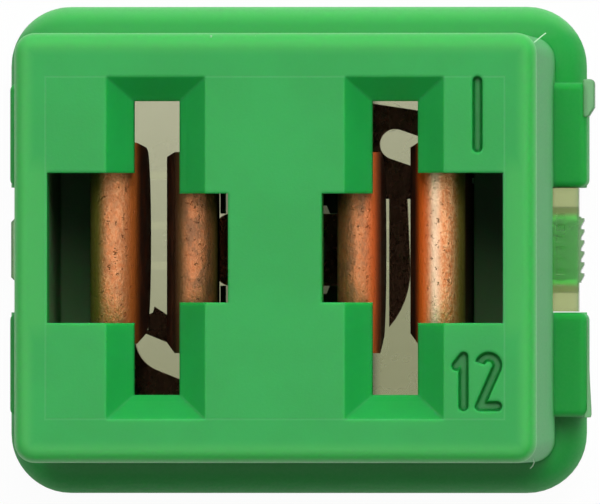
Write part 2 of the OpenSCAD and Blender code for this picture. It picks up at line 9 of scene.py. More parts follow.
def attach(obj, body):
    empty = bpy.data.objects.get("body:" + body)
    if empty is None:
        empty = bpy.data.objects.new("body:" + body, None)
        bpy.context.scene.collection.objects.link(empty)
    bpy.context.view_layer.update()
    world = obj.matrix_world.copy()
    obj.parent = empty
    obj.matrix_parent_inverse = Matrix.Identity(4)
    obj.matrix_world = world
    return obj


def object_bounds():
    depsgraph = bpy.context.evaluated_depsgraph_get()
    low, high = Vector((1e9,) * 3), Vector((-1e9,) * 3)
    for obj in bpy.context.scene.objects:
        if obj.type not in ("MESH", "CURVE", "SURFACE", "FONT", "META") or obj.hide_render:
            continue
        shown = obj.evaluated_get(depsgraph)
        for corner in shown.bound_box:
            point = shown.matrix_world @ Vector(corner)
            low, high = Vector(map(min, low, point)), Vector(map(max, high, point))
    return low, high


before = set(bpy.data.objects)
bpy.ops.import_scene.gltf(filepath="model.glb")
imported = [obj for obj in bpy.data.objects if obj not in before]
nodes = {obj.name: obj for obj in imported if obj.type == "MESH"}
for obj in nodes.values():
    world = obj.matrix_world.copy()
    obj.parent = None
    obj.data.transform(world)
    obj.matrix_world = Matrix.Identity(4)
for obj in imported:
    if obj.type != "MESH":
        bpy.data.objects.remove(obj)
cadLow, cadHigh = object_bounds()
print("frame loaded:", ", ".join(sorted(nodes)))

mm = 0.001
faceZ = cadHigh.z  # level of the socket face


# Small helpers for node trees and objects

def addNode(tree, kind, sockets=None, **settings):
    made = tree.nodes.new("ShaderNode" + kind)
    made.location = (190 * (len(tree.nodes) % 8), -260 * (len(tree.nodes) // 8))
    for name, value in settings.items():
        setattr(made, name, value)
    for name, value in (sockets or {}).items():
        setSocket(tree, made.inputs[name], value)
    return made


def setSocket(tree, socket, value):
    if isinstance(value, bpy.types.NodeSocket):
        tree.links.new(value, socket)
    else:
        socket.default_value = value


def calc(tree, operation, *values, clamp=False):
    sockets = dict(enumerate(values))
    return addNode(tree, "Math", sockets, operation=operation, use_clamp=clamp).outputs[0]


def remap(tree, value, low, high, toLow=0.0, toHigh=1.0, smooth=True):
    style = "SMOOTHSTEP" if smooth else "LINEAR"
    sockets = {"Value": value, "From Min": low, "From Max": high, "To Min": toLow, "To Max": toHigh}
    return addNode(tree, "MapRange", sockets, interpolation_type=style).outputs["Result"]


def blendColours(tree, mask, first, second):
    made = addNode(tree, "Mix", data_type="RGBA", blend_type="MIX")
    for name, value in (("Factor_Float", mask), ("A_Color", first), ("B_Color", second)):
        setSocket(tree, next(s for s in made.inputs if s.identifier == name), value)
    return next(s for s in made.outputs if s.identifier == "Result_Color")


def newGroup(name, inputs, outputs):
    group = bpy.data.node_groups.new(name, "ShaderNodeTree")
    for label, start in inputs.items():
        made = group.interface.new_socket(name=label, in_out="INPUT", socket_type="NodeSocketFloat")
        made.default_value = start
    for label in outputs:
        group.interface.new_socket(name=label, in_out="OUTPUT", socket_type="NodeSocketFloat")
    return group, group.nodes.new("NodeGroupInput").outputs, group.nodes.new("NodeGroupOutput").inputs


def useGroup(tree, group, sockets):
    return addNode(tree, "Group", sockets, node_tree=group).outputs


def objectMillimetres(tree):
    place = addNode(tree, "TexCoord").outputs["Object"]
    sized = addNode(tree, "VectorMath", {0: place, "Scale": 1 / mm}, operation="SCALE")
    return sized.outputs[0]


def newMaterial(name, viewColour):
    material = bpy.data.materials.new(name)
    material.use_nodes = True
    material.diffuse_color = (*viewColour, 1)
    material.node_tree.nodes.clear()
    return material, material.node_tree


def finishMaterial(tree, shader):
    addNode(tree, "OutputMaterial", {"Surface": shader})


def addObject(name, data):
    made = bpy.data.objects.new(name, data)
    bpy.context.scene.collection.objects.link(made)
    return made


# Effects that several finishes share; each mask opens between two levels of its texture

def makeMouldSkin():
    # fine eroded skin of a mould, and slow changes of shade in the plastic
    group, given, put = newGroup("mouldSkin", {"Grain Scale": 14, "Cloud Scale": 0.5},
                                 ("Height", "Cloud", "Speckle"))
    place = objectMillimetres(group)
    grain = addNode(group, "TexNoise", {"Vector": place, "Scale": given["Grain Scale"],
                                        "Detail": 3, "Roughness": 0.65})
    cloud = addNode(group, "TexNoise", {"Vector": place, "Scale": given["Cloud Scale"],
                                        "Detail": 4, "Roughness": 0.6})
    pits = addNode(group, "TexVoronoi", {"Vector": place, "Scale": given["Grain Scale"]})
    group.links.new(grain.outputs["Fac"], put["Height"])
    group.links.new(cloud.outputs["Fac"], put["Cloud"])
    group.links.new(remap(group, pits.outputs["Distance"], 0.0, 0.25, 1, 0), put["Speckle"])
    return group


def makeEdgeMask():
    # 1 on a narrow band along sharp edges, 0 on open faces
    group, given, put = newGroup("edgeBand", {"Width": 0.05, "Sharpness": 0.1}, ("Mask",))
    radius = calc(group, "MULTIPLY", given["Width"], mm)
    rounded = addNode(group, "Bevel", {"Radius": radius}, samples=6).outputs[0]
    flat = addNode(group, "NewGeometry").outputs["Normal"]
    same = addNode(group, "VectorMath", {0: rounded, 1: flat}, operation="DOT_PRODUCT")
    turned = calc(group, "SUBTRACT", 1, same.outputs["Value"])
    band = calc(group, "DIVIDE", turned, given["Sharpness"], clamp=True)
    group.links.new(band, put["Mask"])
    return group


def makeTarnish():
    # crystal grain, stains and small pits of a rolled strip
    group, given, put = newGroup("tarnish", {"Grain Scale": 11, "Stain Scale": 1.5, "Pit Scale": 6},
                                 ("Grain", "Stain", "Pits", "Height"))
    place = objectMillimetres(group)
    drawn = addNode(group, "Mapping", {"Vector": place, "Scale": (1, 0.6, 1)}).outputs[0]
    grain = addNode(group, "TexNoise", {"Vector": drawn, "Scale": given["Grain Scale"],
                                        "Detail": 4, "Roughness": 0.75})
    stain = addNode(group, "TexNoise", {"Vector": drawn, "Scale": given["Stain Scale"],
                                        "Detail": 7, "Roughness": 0.75})
    pits = addNode(group, "TexNoise", {"Vector": place, "Scale": given["Pit Scale"],
                                       "Detail": 3, "Roughness": 0.8})
    grainMask = remap(group, grain.outputs["Fac"], 0.38, 0.62)
    stainMask = remap(group, stain.outputs["Fac"], 0.42, 0.62)
    pitMask = remap(group, pits.outputs["Fac"], 0.60, 0.72)
    height = calc(group, "SUBTRACT", grain.outputs["Fac"], pitMask)
    group.links.new(grainMask, put["Grain"])
    group.links.new(stainMask, put["Stain"])
    group.links.new(pitMask, put["Pits"])
    group.links.new(height, put["Height"])
    return group


mouldSkin = makeMouldSkin()
edgeBand = makeEdgeMask()
tarnish = makeTarnish()
print("shared effects ready")


# Green plastic of the housing; all lengths in mm, and sizes across are from the part's middle

greenPlastic = {
    "skin": {"Grain Scale": 13, "Cloud Scale": 0.45},
    "colour": (0.012, 0.415, 0.074, 1),
    "deep": (0.010, 0.385, 0.066, 1),
    "clouds": (0.35, 0.65),               # levels of the slow noise over which it turns deep
    "speckle": (0.03, 0.52, 0.12, 1),
    "speckleShare": (0.08, 0.2),          # outside and inside the insert's outline
    # the mould insert's outline on the socket face
    "insert": (5.58, 4.16),               # half sizes
    "insertBlend": 0.05,
    "faceWithin": 0.02,                   # what is this near the top is the socket face
    "lineWidth": 0.04,
    "lineDepth": 0.8,                     # share of the skin's relief
    "lineShare": 0.3,                     # how far the line takes the scuffed colour
    "scuffed": (0.12, 0.48, 0.18, 1),
    # rims and thin walls, made lighter: painted glow of the light that comes through them
    "rimGlow": (0.045, 0.46, 0.085, 1),
    "rim": (5.95, 4.8),                   # half sizes of the flat inside the rim
    "rimBlend": 0.15,
    "thinWall": (5.3, 1.7),               # thin walls by the outer windows: from, and half length
    "thinWallBlend": (0.5, 0.7),
    "thinWallShare": 0.8,
    # upright walls: painted shade, darker than the face
    "side": (0.012, 0.34, 0.055, 1),
    "sideBelow": 0.5,                     # under the socket face
    "sideUntil": (5.25, 5.5),             # and the painted shade ends over this, towards +Y
    "sideRougher": 0.2,
    # painted shade on the flange and the lugs, darker than the face
    "low": (0.006, 0.335, 0.046, 1),
    "flangeShadeBelow": (4.3, 5.0),               # levels over which that begins
    "brightSide": (0.4, 0.85),            # and it ends where the surface turns to +Y, towards the light
    # painted shade in the marks sunk into the socket face
    "groove": (0.006, 0.235, 0.036, 1),
    "grooves": (4.3, 18.75, 18.985),      # where the marks begin across the face, and their levels
    # inside of the chambers: greyed, a painted haze of stray light over the dark walls, with some
    # dust
    "inner": (0.16, 0.33, 0.13, 1),
    "chamber": (5.65, 4.17, 17.6),        # half sizes and roof
    # edges: painted highlight
    "pale": (0.04, 0.46, 0.10, 1),
    "edgeHighlight": 0.22,                     # how far an edge takes that colour
    "band": {"Width": 0.05, "Sharpness": 0.14},
    "softness": 0.11,                     # radius over which the mould's edges are rounded
    # surface
    "skinAmount": (0.4, 1.0),             # outside and inside the insert's outline
    "skinStrength": 0.5,
    "skinDepth": 0.008,
    "roughness": (0.37, 0.49),
    "ior": 1.53,
    "specular": 0.62,
    "subsurface": 0.8,
    "subsurfaceRadius": (0.15, 1.0, 0.35),
    "subsurfaceScale": 0.5,
}


def insertMasks(tree, place, c):
    # outline of the mould insert, a shallow line on the socket face, and the field inside it
    acrossX = calc(tree, "SUBTRACT", calc(tree, "ABSOLUTE", place["X"]), c["insert"][0])
    acrossY = calc(tree, "SUBTRACT", calc(tree, "ABSOLUTE", place["Y"]), c["insert"][1])
    outside = calc(tree, "MAXIMUM", acrossX, acrossY)
    onFace = calc(tree, "GREATER_THAN", place["Z"], faceZ / mm - c["faceWithin"])
    line = remap(tree, calc(tree, "ABSOLUTE", outside), 0, c["lineWidth"], 1, 0)
    line = calc(tree, "MULTIPLY", line, onFace)
    inside = remap(tree, outside, -c["insertBlend"], c["insertBlend"], 1, 0)
    return line, calc(tree, "MULTIPLY", inside, onFace)


def makeGreenPlastic(c=greenPlastic):
    material, tree = newMaterial("greenPlastic", c["colour"][:3])
    skin = useGroup(tree, mouldSkin, c["skin"])
    band = useGroup(tree, edgeBand, c["band"])["Mask"]
    place = addNode(tree, "SeparateXYZ", {0: objectMillimetres(tree)}).outputs
    line, inside = insertMasks(tree, place, c)
    cloud = remap(tree, skin["Cloud"], *c["clouds"])
    colour = blendColours(tree, cloud, c["colour"], c["deep"])
    speckle = calc(tree, "MULTIPLY", skin["Speckle"], remap(tree, inside, 0, 1, *c["speckleShare"]))
    colour = blendColours(tree, speckle, colour, c["speckle"])
    # painted glow on rims and thin walls, and painted shade on upright walls
    sideways = calc(tree, "ABSOLUTE", place["X"])
    lengthways = calc(tree, "ABSOLUTE", place["Y"])
    rim = calc(tree, "MAXIMUM", calc(tree, "SUBTRACT", sideways, c["rim"][0]),
               calc(tree, "SUBTRACT", lengthways, c["rim"][1]))
    rim = remap(tree, rim, -c["rimBlend"], c["rimBlend"])
    (wallX, wallY), (blendX, blendY) = c["thinWall"], c["thinWallBlend"]
    wall = calc(tree, "MULTIPLY", remap(tree, sideways, wallX, wallX + blendX),
                remap(tree, lengthways, wallY, wallY + blendY, 1, 0))
    # painted glow over the rim and the thin walls by the outer windows
    rimGlow = calc(tree, "MAXIMUM", rim, calc(tree, "MULTIPLY", wall, c["thinWallShare"]))
    # painted shade on the upright walls below the socket face
    side = calc(tree, "LESS_THAN", place["Z"], faceZ / mm - c["sideBelow"])
    side = calc(tree, "MULTIPLY", side, remap(tree, place["Y"], *c["sideUntil"], 1, 0))
    # upright walls take the painted shade in place of the painted glow
    glowAndWallShade = blendColours(tree, side, c["rimGlow"], c["side"])
    colour = blendColours(tree, rimGlow, colour, glowAndWallShade)
    # painted shade on the flange and lugs, except where they face +Y
    low = remap(tree, place["Z"], *c["flangeShadeBelow"], 1, 0)
    facing = addNode(tree, "SeparateXYZ", {0: addNode(tree, "TexCoord").outputs["Normal"]}).outputs
    low = calc(tree, "MULTIPLY", low, remap(tree, facing["Y"], *c["brightSide"], 1, 0))
    colour = blendColours(tree, low, colour, c["low"])
    # painted shade in the marks sunk into the socket face
    marksFrom, marksLow, marksHigh = c["grooves"]
    groove = calc(tree, "MULTIPLY", calc(tree, "GREATER_THAN", place["X"], marksFrom),
                  calc(tree, "LESS_THAN", place["Z"], marksHigh))
    groove = calc(tree, "MULTIPLY", groove, calc(tree, "GREATER_THAN", place["Z"], marksLow))
    groove = calc(tree, "MULTIPLY", groove, calc(tree, "SUBTRACT", 1, rim))
    colour = blendColours(tree, groove, colour, c["groove"])
    # chambers: painted haze of stray light, with some dust
    halfX, halfY, roof = c["chamber"]
    chamberHaze = calc(tree, "MULTIPLY", calc(tree, "LESS_THAN", sideways, halfX),
                  calc(tree, "LESS_THAN", lengthways, halfY))
    chamberHaze = calc(tree, "MULTIPLY", chamberHaze, calc(tree, "LESS_THAN", place["Z"], roof))
    colour = blendColours(tree, chamberHaze, colour, c["inner"])
    # painted highlight along the edges, and the insert's line
    edgeHighlight = calc(tree, "MULTIPLY", band, c["edgeHighlight"])
    colour = blendColours(tree, edgeHighlight, colour, c["pale"])
    colour = blendColours(tree, calc(tree, "MULTIPLY", line, c["lineShare"]), colour, c["scuffed"])
    # surface: rougher inside the insert's outline
    amount = remap(tree, inside, 0, 1, *c["skinAmount"], smooth=False)
    relief = calc(tree, "MULTIPLY", skin["Height"], amount)
    relief = calc(tree, "SUBTRACT", relief, calc(tree, "MULTIPLY", line, c["lineDepth"]))
    soft = addNode(tree, "Bevel", {"Radius": c["softness"] * mm}, samples=8).outputs[0]
    bump = addNode(tree, "Bump", {"Height": relief, "Strength": c["skinStrength"],
                                  "Distance": c["skinDepth"] * mm, "Normal": soft})
    rough = remap(tree, skin["Height"], 0.3, 0.7, *c["roughness"])
    rough = calc(tree, "ADD", rough, calc(tree, "MULTIPLY", side, c["sideRougher"]))
    shader = addNode(tree, "BsdfPrincipled", {
        "Base Color": colour, "Roughness": rough, "IOR": c["ior"], "Normal": bump.outputs[0],
        "Specular IOR Level": c["specular"],
        "Subsurface Weight": c["subsurface"], "Subsurface Radius": c["subsurfaceRadius"],
        "Subsurface Scale": c["subsurfaceScale"] * mm})
    finishMaterial(tree, shader.outputs[0])
    return material


# Clear plastic of the cover; lengths in mm

clearPlastic = {
    "skin": {"Grain Scale": 7, "Cloud Scale": 0.35},
    "colour": (0.67, 0.67, 0.46, 1),
    "shadedCorner": (0.40, 0.41, 0.235, 1),   # painted shade, darker and yellower towards the corner at +X, -Y
    "shadeLean": 0.35,                   # weight of X in that direction, where that of -Y is 1
    "shadeOver": (-5, 3.4),
    "shaded": (0.12, 0.13, 0.08, 1),      # behind the link
    "shadedWithin": (1.7, 2.05),          # from the middle, across the sockets
    "bar": (0.70, 0.72, 0.44, 1),         # bars across the window, and the posts
    "barFoot": 1.37,                      # the bars and posts stand above this level
    "barShare": 0.8,
    "leg": (0.44, 0.49, 0.21, 1),
    "legFace": 6.3,                       # the legs lie beyond this, from the middle
    "latch": (0.20, 0.98, 0.22, 1),       # where the housing's latch shows through a leg
    "latchWithin": (0.78, 0.95),          # from the middle, along the slots
    "latchShare": 0.8,
    "ribs": (0.24, 0.42, 0.20, 1),
    "ribsBeyond": (6.95, 7.08),
    "softness": 0.03,                     # radius over which its edges are rounded
    "waveStrength": 0.2,
    "waveDepth": 0.01,
    "roughness": (0.18, 0.30),
    "ior": 1.5,
    "transmission": 0.85,
}


def makeClearPlastic(c=clearPlastic):
    material, tree = newMaterial("clearPlastic", c["colour"][:3])
    skin = useGroup(tree, mouldSkin, c["skin"])
    place = addNode(tree, "SeparateXYZ", {0: objectMillimetres(tree)}).outputs
    # plate, bars and posts
    # painted shade, darker towards the corner at +X, -Y
    across = calc(tree, "SUBTRACT", calc(tree, "MULTIPLY", place["X"], c["shadeLean"]), place["Y"])
    cornerShade = remap(tree, across, *c["shadeOver"], smooth=False)
    colour = blendColours(tree, cornerShade, c["colour"], c["shadedCorner"])
    sideways = calc(tree, "ABSOLUTE", place["X"])
    shaded = remap(tree, sideways, *c["shadedWithin"], 1, 0)
    colour = blendColours(tree, shaded, colour, c["shaded"])
    onBar = calc(tree, "GREATER_THAN", place["Z"], c["barFoot"])
    colour = blendColours(tree, calc(tree, "MULTIPLY", onBar, c["barShare"]), colour, c["bar"])
    # legs
    green = remap(tree, calc(tree, "ABSOLUTE", place["Y"]), *c["latchWithin"], 1, 0)
    leg = blendColours(tree, calc(tree, "MULTIPLY", green, c["latchShare"]), c["leg"], c["latch"])
    leg = blendColours(tree, remap(tree, sideways, *c["ribsBeyond"]), leg, c["ribs"])
    onLeg = calc(tree, "GREATER_THAN", sideways, c["legFace"])
    colour = blendColours(tree, onLeg, colour, leg)
    # surface
    soft = addNode(tree, "Bevel", {"Radius": c["softness"] * mm}, samples=6).outputs[0]
    bump = addNode(tree, "Bump", {"Height": skin["Cloud"], "Strength": c["waveStrength"],
                                  "Distance": c["waveDepth"] * mm, "Normal": soft})
    rough = remap(tree, skin["Cloud"], 0.3, 0.7, *c["roughness"])
    shader = addNode(tree, "BsdfPrincipled", {
        "Base Color": colour, "Roughness": rough, "IOR": c["ior"], "Normal": bump.outputs[0]})
    shader.inputs["Transmission Weight"].default_value = c["transmission"]
    finishMaterial(tree, shader.outputs[0])
    return material


# Copper alloy of the element; lengths in mm, and shares say how far a colour is taken

copper = {
    "tarnish": {"Grain Scale": 14, "Stain Scale": 2.6, "Pit Scale": 7},
    "slot": 2.9,                          # middle of a slot, from the part's middle
    # wear of the four arms, from left to right, and the most of it
    "wear": (0.3, 0.75, 0.6, 0.0),
    "wornMost": 0.75,
    "freshUntil": 0.5,
    "colour": (0.80, 0.25, 0.08, 1),
    "bright": (1.0, 0.50, 0.235, 1),
    "brightShare": (0.42, 1.0),           # on worn and on fresh arms
    "shade": (0.42, 0.15, 0.065, 1),      # worn strip
    "shadeShare": 0.7,
    "crestHighlight": (1.0, 0.69, 0.45, 1),        # painted highlight along the top of the freshest bend
    "crestAt": 0.94,                      # from the middle of its slot
    "crestWidth": 0.23,
    "crestFade": 4,                       # how fast it goes with wear, a power
    "stain": (0.24, 0.13, 0.07, 1),
    "stainShare": (0.08, 0.7),            # on fresh and on worn arms
    "pit": (0.26, 0.07, 0.03, 1),
    "pitShare": 0.6,
    # flanks of the bends
    "bendStarts": (0.39, 0.52),           # of an inner and an outer arm, from the slot's middle
    "bounceLight": (0.98, 0.17, 0.022, 1),       # painted reflection beside a slot, of light that goes from arm to arm
    "warmWithin": (0.1, 0.42),            # past the start of the bend
    "warmOnWorn": 0.92,                   # what is left of it at the most wear
    "shadedFlank": (0.15, 0.08, 0.018, 1),  # painted shade in place of that, on worn arms
    "leftFlank": 0.62,                    # how far the left socket's flanks take the painted shade
    "flankWear": (0.62, 0.73),            # wear over which the others do
    "olive": (0.085, 0.125, 0.008, 1),    # painted reflection of the green housing, far from a slot
    "oliveFrom": (1.22, 1.5),
    "oliveShift": 0.09,                   # how much further out that lies in the right socket
    "oliveShare": 0.85,
    "dark": (0.085, 0.04, 0.024, 1),      # painted shade below the bends, with some tarnish where the strip has gone dull
    "darkWithin": 0.25,                   # painted shade within this of the start of an inner arm's bend
    "darkShare": 0.85,
    # below the bends: painted shade with some tarnish
    "shadeAndDullBelow": (16.55, 17.3),           # levels over which it goes darker, painted shade, and rougher
    # painted glints in the shade below the bends
    "glint": (0.30, 0.085, 0.028, 1),
    "glintShare": 0.5,
    "link": (0.36, 0.18, 0.10, 1),        # link and bridges, at the bottom of the chambers
    "linkBelow": (4.2, 6.0),
    # surface
    "oliveMatt": 0.5,
    "matt": (0.22, 0.85),                 # share that isn't metal, on open faces and on flanks
    "roughness": (0.3, 0.44),             # clean and stained
    "dullRougher": 0.25,
    "linkSmoother": 0.36,
    "reliefStrength": 0.8,
    "reliefDepth": 0.03,
}


def armWear(tree, place, c):
    wear = c["wear"][0]
    for i, edge in enumerate((-c["slot"], 0, c["slot"])):
        past = calc(tree, "GREATER_THAN", place["X"], edge)
        step = calc(tree, "MULTIPLY", past, c["wear"][i + 1] - c["wear"][i])
        wear = calc(tree, "ADD", wear, step)
    return wear


def makeCopper(c=copper):
    material, tree = newMaterial("copperAlloy", c["colour"][:3])
    worn = useGroup(tree, tarnish, c["tarnish"])
    place = addNode(tree, "SeparateXYZ", {0: objectMillimetres(tree)}).outputs
    wear = armWear(tree, place, c)
    fresh = remap(tree, wear, 0, c["freshUntil"], 1, 0)
    # places round a bend
    fromSlot = calc(tree, "SUBTRACT", calc(tree, "ABSOLUTE", place["X"]), c["slot"])
    fromSlot = calc(tree, "ABSOLUTE", fromSlot)
    outer = calc(tree, "GREATER_THAN", calc(tree, "ABSOLUTE", place["X"]), c["slot"])
    start = remap(tree, outer, 0, 1, *c["bendStarts"], smooth=False)
    into = calc(tree, "SUBTRACT", fromSlot, start)
    # painted reflection of light between the arms, beside a slot
    bounceLight = remap(tree, into, *c["warmWithin"], 1, 0)
    warmLeft = remap(tree, wear, 0, c["wornMost"], 1, c["warmOnWorn"], smooth=False)
    bounceLight = calc(tree, "MULTIPLY", bounceLight, warmLeft)
    # painted shade where an inner arm's bend starts beside the slot
    innerArmShade = calc(tree, "MULTIPLY", remap(tree, into, 0.0, c["darkWithin"], c["darkShare"], 0),
                  calc(tree, "SUBTRACT", 1, outer))
    # painted shade on the flanks of the left socket and of worn arms
    shaded = calc(tree, "MULTIPLY", calc(tree, "LESS_THAN", place["X"], 0), c["leftFlank"])
    shaded = calc(tree, "MAXIMUM", shaded, remap(tree, wear, *c["flankWear"]))
    flank = blendColours(tree, shaded, c["bounceLight"], c["shadedFlank"])
    # painted reflection of the green housing in the flanks far from a slot
    right = calc(tree, "GREATER_THAN", place["X"], 0)
    shifted = calc(tree, "SUBTRACT", fromSlot, calc(tree, "MULTIPLY", right, c["oliveShift"]))
    olive = remap(tree, shifted, *c["oliveFrom"])
    # painted highlight along the crest of the freshest bend
    crestHighlight = calc(tree, "ABSOLUTE", calc(tree, "SUBTRACT", fromSlot, c["crestAt"]))
    crestHighlight = calc(tree, "MULTIPLY", remap(tree, crestHighlight, 0.0, c["crestWidth"], 1, 0),
                 calc(tree, "POWER", fresh, c["crestFade"]))
    # colour of the bends
    shine = calc(tree, "MULTIPLY", worn["Grain"], remap(tree, fresh, 0, 1, *c["brightShare"]))
    colour = blendColours(tree, shine, c["colour"], c["bright"])
    colour = blendColours(tree, calc(tree, "MULTIPLY", wear, c["shadeShare"]), colour, c["shade"])
    colour = blendColours(tree, crestHighlight, colour, c["crestHighlight"])
    stainShare = remap(tree, wear, 0, c["wornMost"], *c["stainShare"])
    stained = calc(tree, "MULTIPLY", worn["Stain"], stainShare)
    colour = blendColours(tree, stained, colour, c["stain"])
    colour = blendColours(tree, calc(tree, "MULTIPLY", worn["Pits"], c["pitShare"]), colour, c["pit"])
    colour = blendColours(tree, bounceLight, colour, flank)
    colour = blendColours(tree, calc(tree, "MULTIPLY", olive, c["oliveShare"]), colour, c["olive"])
    colour = blendColours(tree, innerArmShade, colour, c["dark"])
    # colour below them: painted shade, with some tarnish
    dull = remap(tree, place["Z"], *c["shadeAndDullBelow"], 1, 0)
    # painted glints in the shade
    glint = calc(tree, "MULTIPLY", worn["Stain"], c["glintShare"])
    dark = blendColours(tree, glint, c["dark"], c["glint"])
    low = remap(tree, place["Z"], *c["linkBelow"], 1, 0)
    dark = blendColours(tree, low, dark, c["link"])
    colour = blendColours(tree, dull, colour, dark)
    # surface: the flanks are matt
    bounced = calc(tree, "MAXIMUM", bounceLight, calc(tree, "MULTIPLY", olive, c["oliveMatt"]))
    bounced = calc(tree, "MULTIPLY", bounced, calc(tree, "SUBTRACT", 1, dull))
    bounced = remap(tree, bounced, 0, 1, *c["matt"], smooth=False)
    rough = remap(tree, worn["Stain"], 0, 1, *c["roughness"])
    rough = calc(tree, "ADD", rough, calc(tree, "MULTIPLY", dull, c["dullRougher"]))
    rough = calc(tree, "SUBTRACT", rough, calc(tree, "MULTIPLY", low, c["linkSmoother"]))
    bump = addNode(tree, "Bump", {"Height": worn["Height"], "Strength": c["reliefStrength"],
                                  "Distance": c["reliefDepth"] * mm})
    shader = addNode(tree, "BsdfPrincipled", {
        "Base Color": colour, "Roughness": rough, "Normal": bump.outputs[0],
        "Metallic": calc(tree, "SUBTRACT", 1, bounced)})
    finishMaterial(tree, shader.outputs[0])
    return material


# Tin of the pill

tin = {
    "tarnish": {"Grain Scale": 5, "Stain Scale": 3, "Pit Scale": 10},
    "colour": (0.60, 0.60, 0.58, 1),
    "dull": (0.33, 0.33, 0.32, 1),
    "roughness": (0.38, 0.58),
    "reliefStrength": 0.4,
    "reliefDepth": 0.01,  # mm
}


def makeTin(c=tin):
    material, tree = newMaterial("tin", c["colour"][:3])
    worn = useGroup(tree, tarnish, c["tarnish"])
    colour = blendColours(tree, worn["Stain"], c["colour"], c["dull"])
    rough = remap(tree, worn["Stain"], 0, 1, *c["roughness"])
    bump = addNode(tree, "Bump", {"Height": worn["Height"], "Strength": c["reliefStrength"],
                                  "Distance": c["reliefDepth"] * mm})
    shader = addNode(tree, "BsdfPrincipled", {
        "Base Color": colour, "Roughness": rough, "Normal": bump.outputs[0]})
    shader.inputs["Metallic"].default_value = 1.0
    finishMaterial(tree, shader.outputs[0])
    return material


finishes = {
    "housing": makeGreenPlastic(),
    "clear_cover": makeClearPlastic(),
    "fuse_element": makeCopper(),
    "tin_pill": makeTin(),
}
for name, material in finishes.items():
    nodes[name].material_slots[0].material = material
print("finishes on:", ", ".join(finishes))


# Remnants of moulding

def addPrism(name, outline, levels, material, rim):
    # an upright prism over a plan outline, with rounded edges; lengths in mm
    shape = bmesh.new()
    foot = [shape.verts.new((x * mm, y * mm, levels[0] * mm)) for x, y in outline]
    base = shape.faces.new(foot)
    raised = bmesh.ops.extrude_face_region(shape, geom=[base])["geom"]
    lifted = [part for part in raised if isinstance(part, bmesh.types.BMVert)]
    bmesh.ops.translate(shape, verts=lifted, vec=(0, 0, (levels[1] - levels[0]) * mm))
    bmesh.ops.recalc_face_normals(shape, faces=shape.faces)
    mesh = bpy.data.meshes.new(name)
    shape.to_mesh(mesh)
    shape.free()
    mesh.materials.append(material)
    piece = addObject(name, mesh)
    rounding = piece.modifiers.new("rims", "BEVEL")
    rounding.width = rim * mm
    rounding.segments = 3
    rounding.limit_method = "ANGLE"
    rounding.angle_limit = math.radians(40)
    rounding.harden_normals = True
    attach(piece, "root")


palePlastic = {
    "skin": {"Grain Scale": 9, "Cloud Scale": 2},
    "colour": (0.25, 0.58, 0.27, 1),
    "roughness": 0.4,
    "ior": 1.5,
    "transmission": 0.6,
    "waveStrength": 0.3,
    "waveDepth": 0.01,  # mm
}


def makePalePlastic(c=palePlastic):
    material, tree = newMaterial("palePlastic", c["colour"][:3])
    skin = useGroup(tree, mouldSkin, c["skin"])
    bump = addNode(tree, "Bump", {"Height": skin["Cloud"], "Strength": c["waveStrength"],
                                  "Distance": c["waveDepth"] * mm})
    shader = addNode(tree, "BsdfPrincipled", {
        "Base Color": c["colour"], "Roughness": c["roughness"], "IOR": c["ior"],
        "Normal": bump.outputs[0]})
    shader.inputs["Transmission Weight"].default_value = c["transmission"]
    finishMaterial(tree, shader.outputs[0])
    return material


# Crumbs and hairs of flash or lint; lengths in mm

flecks = {
    # place and half length of each crumb
    "crumbs": ((-0.48, 5.13, 18.86, 0.07), (2.84, 5.12, 18.84, 0.10), (-4.71, 1.04, 10.9, 0.07),
               (4.60, 1.68, 10.9, 0.10), (4.83, -1.37, 10.9, 0.06), (-3.42, -3.47, 1.42, 0.08),
               (5.98, -5.06, 18.7, 0.09), (-5.6, 1.9, 18.98, 0.05), (-1.55, 5.14, 18.9, 0.05)),
    # least and most of a crumb's stretch along X and along Y, and its height
    "stretch": ((0.4, 1), (0.5, 1)),
    "flatness": 0.35,
    "jag": (0.6, 1.1),                    # how far a corner of a crumb is pulled in or out
    "hairs": (((6.26, 5.0, 17.6), (6.36, 5.09, 17.4), (6.45, 5.17, 17.15), (6.53, 5.24, 16.8)),
              ((6.22, -5.12, 17.1), (6.25, -5.22, 17.0), (6.21, -5.31, 16.9), (6.15, -5.37, 16.8))),
    "hairRadius": 0.017,
    "hairSides": 3,
    "colour": (0.40, 0.68, 0.42, 1),
    "roughness": 0.6,
    "seed": 7,
}


def addCrumb(shape, pick, place, size, c):
    made = bmesh.ops.create_icosphere(shape, subdivisions=1, radius=size * mm)["verts"]
    alongX, alongY = c["stretch"]
    stretch = Vector((pick.uniform(*alongX), pick.uniform(*alongY), c["flatness"]))
    for vert in made:
        jag = pick.uniform(*c["jag"])
        vert.co = vert.co * stretch * jag
        vert.co += Vector(place) * mm


def addHair(shape, path, c):
    sides, radius = c["hairSides"], c["hairRadius"]
    around = [math.radians(360 / sides * i) for i in range(sides)]
    rings = [[shape.verts.new(Vector((x + radius * math.cos(a), y + radius * math.sin(a), z)) * mm)
              for a in around] for x, y, z in path]
    for low, high in zip(rings, rings[1:]):
        for i in range(sides):
            j = (i + 1) % sides
            shape.faces.new((low[i], low[j], high[j], high[i]))
    shape.faces.new(rings[0][::-1])
    shape.faces.new(rings[-1])


def addFlecks(c=flecks):
    pick = random.Random(c["seed"])
    shape = bmesh.new()
    for x, y, z, size in c["crumbs"]:
        addCrumb(shape, pick, (x, y, z), size, c)
    for path in c["hairs"]:
        addHair(shape, path, c)
    bmesh.ops.recalc_face_normals(shape, faces=shape.faces)
    mesh = bpy.data.meshes.new("flecks")
    shape.to_mesh(mesh)
    shape.free()
    material, tree = newMaterial("fleckPale", c["colour"][:3])
    shader = addNode(tree, "BsdfPrincipled", {"Base Color": c["colour"], "Roughness": c["roughness"]})
    finishMaterial(tree, shader.outputs[0])
    mesh.materials.append(material)
    piece = addObject("flecks", mesh)
    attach(piece, "root")


